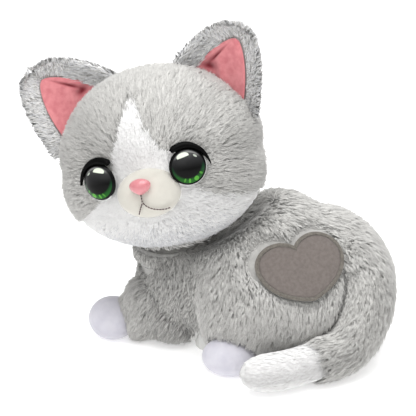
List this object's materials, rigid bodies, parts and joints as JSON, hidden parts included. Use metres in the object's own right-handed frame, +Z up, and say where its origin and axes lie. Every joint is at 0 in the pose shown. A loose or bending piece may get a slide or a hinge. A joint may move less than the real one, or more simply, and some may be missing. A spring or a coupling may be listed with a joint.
{
  "type": "interactive plush kitten",
  "caption": "Lying plush kitten with a motorised turning head, a pressable felt heart on its flank and a hard belly housing for batteries, speaker and purr motor.",
  "frame": {"origin": "on the flat bottom of the belly housing, on the plane that the toy rests on", "axes": "+Z up, +Y towards the tail, +X towards the kitten's own left, which the face is turned to"},
  "size_m": [0.1695, 0.2485, 0.2214],
  "materials": {
    "grey_plush": "soft pile",
    "white_plush": "soft pile",
    "white_velboa": "short smooth pile",
    "pink_lining": "brushed knit",
    "dark_felt": "felt",
    "dark_thread": "satin stitch",
    "stuffing": "polyester filling",
    "sleeve_knit": "knit",
    "housing_plastic": "moulded",
    "gear_plastic": "moulded",
    "black_plastic": "moulded",
    "circuit_board": "solder mask",
    "eye_print": "printed",
    "eye_clear": "polished",
    "nose_gloss": "gloss",
    "steel": "plain",
    "brass": "turned",
    "battery_wrap": "printed sleeve"
  },
  "bodies": {
    "torso": {"torso_skin": "grey_plush", "torso_stuffing": "stuffing", "neck_sleeve": "sleeve_knit", "left_foreleg": "grey_plush", "right_foreleg": "grey_plush", "left_forepaw": "white_velboa", "right_forepaw": "white_velboa", "left_hind_foot": "white_velboa", "right_hind_foot": "white_velboa", "tail": "grey_plush", "tail_tip": "white_plush", "housing_tray": "housing_plastic", "housing_lid": "housing_plastic", "lid_screw_1": "steel", "lid_screw_2": "steel", "battery_cell_1": "battery_wrap", "battery_cell_2": "battery_wrap", "battery_cell_3": "battery_wrap", "battery_contact_front": "steel", "battery_contact_rear": "steel", "main_board": "circuit_board", "speaker": "black_plastic", "purr_motor": "steel", "drive_motor": "steel", "gearbox_case": "housing_plastic", "gearbox_cover": "housing_plastic", "idler_pin": "steel", "power_switch": "black_plastic", "heart_cup": "housing_plastic", "heart_board": "circuit_board"},
    "head": {"head_skin": "grey_plush", "head_stuffing": "stuffing", "skull_front": "housing_plastic", "skull_back": "housing_plastic", "neck_shaft": "housing_plastic", "neck_gear": "gear_plastic", "neck_screw_1": "steel", "neck_screw_2": "steel", "left_eye_disc": "eye_print", "right_eye_disc": "eye_print", "left_eye_lens": "eye_clear", "right_eye_lens": "eye_clear", "left_lash": "dark_thread", "right_lash": "dark_thread", "nose": "nose_gloss", "muzzle": "white_velboa", "mouth_stitch": "dark_thread", "left_ear": "grey_plush", "right_ear": "grey_plush", "left_ear_lining": "pink_lining", "right_ear_lining": "pink_lining"},
    "reduction_gear": {"reduction_gear": "gear_plastic"},
    "motor_pinion": {"motor_pinion": "brass"},
    "heart_button": {"heart_patch": "dark_felt", "heart_border": "dark_thread", "heart_button": "housing_plastic"},
    "battery_door": {"battery_door": "housing_plastic"},
    "switch_slider": {"switch_slider": "black_plastic"},
    "purr_weight": {"purr_weight": "brass"}
  },
  "joints": [
    {"name": "head_sway", "type": "hinge", "parent": "torso", "child": "head", "pos_m": [0.002, -0.062, 0.058], "axis": [0, 0, 1], "range_deg": [-20, 20]},
    {"name": "reduction_gear_spin", "type": "hinge", "parent": "torso", "child": "reduction_gear", "pos_m": [0.002, -0.046, 0.046], "axis": [0, 0, 1], "range_deg": [-60, 60]},
    {"name": "motor_pinion_spin", "type": "hinge", "parent": "torso", "child": "motor_pinion", "pos_m": [0.002, -0.0324, 0.046], "axis": [0, 0, 1], "range_deg": [-144, 144]},
    {"name": "heart_press", "type": "slide", "parent": "torso", "child": "heart_button", "axis": [-0.7896, -0.3698, -0.4897], "range_m": [0, 0.002], "stiffness_N_per_m": 400, "springref_m": -0.001},
    {"name": "battery_door_open", "type": "hinge", "parent": "torso", "child": "battery_door", "pos_m": [0, 0.0568, 0], "axis": [1, 0, 0], "range_deg": [0, 80]},
    {"name": "power_switch_slide", "type": "slide", "parent": "torso", "child": "switch_slider", "axis": [1, 0, 0], "range_m": [0, 0.004]},
    {"name": "purr_weight_spin", "type": "hinge", "parent": "torso", "child": "purr_weight", "pos_m": [-0.02, -0.009, 0.009], "axis": [0, 1, 0], "continuous": true}
  ],
  "couplings": [
    {"joint": "reduction_gear_spin", "follows": "head_sway", "ratio": -3},
    {"joint": "motor_pinion_spin", "follows": "head_sway", "ratio": 7.2}
  ]
}
